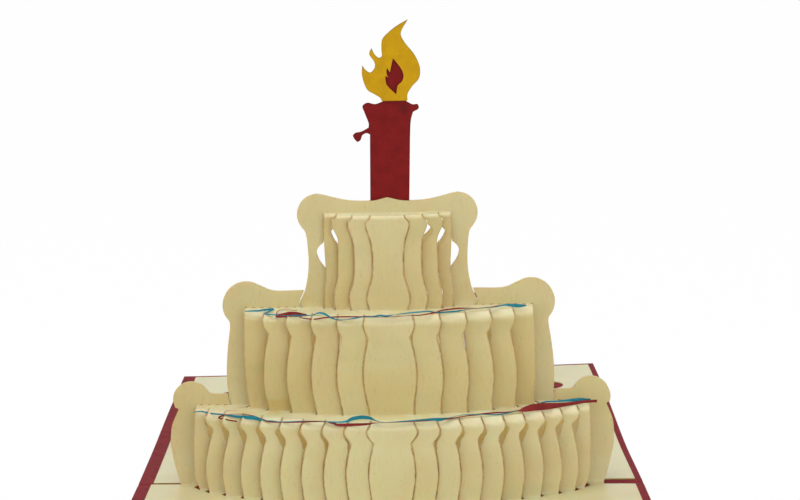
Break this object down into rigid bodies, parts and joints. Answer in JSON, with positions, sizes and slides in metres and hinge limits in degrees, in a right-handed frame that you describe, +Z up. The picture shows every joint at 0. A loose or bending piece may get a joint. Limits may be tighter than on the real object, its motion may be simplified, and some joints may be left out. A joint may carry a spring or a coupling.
{
  "type": "pop up card",
  "caption": "Folded card opened flat, with a tiered paper cake standing across its crease and a flat paper candle and flame on top.",
  "frame": {"origin": "middle of the crease, on the underside of the cover", "axes": "+X along the crease to the right, +Y towards the rear leaf, +Z up from the cover"},
  "size_m": [0.15, 0.3, 0.1365],
  "materials": {
    "cover_card": "dark red uncoated card, matt",
    "cream_card": "cream pearl card, laser cut with browned edges",
    "candle_card": "dark red card, matt",
    "flame_card": "golden yellow card, matt",
    "teal_paper": "teal paper, slight sheen",
    "red_paper": "deep red paper, slight sheen"
  },
  "bodies": {
    "root": {"cover": "cover_card", "front_cake_sheet": "cream_card", "rear_cake_sheet": "cream_card", "candle": "candle_card", "flame_front": "flame_card", "flame_rear": "flame_card", "streamer_teal_upper_front": "teal_paper", "streamer_teal_upper_rear": "teal_paper", "streamer_teal_lower_front": "teal_paper", "streamer_teal_lower_rear": "teal_paper", "streamer_red_upper_front": "red_paper", "streamer_red_upper_rear": "red_paper", "streamer_red_lower_front": "red_paper", "streamer_red_lower_rear": "red_paper"}
  },
  "joints": []
}
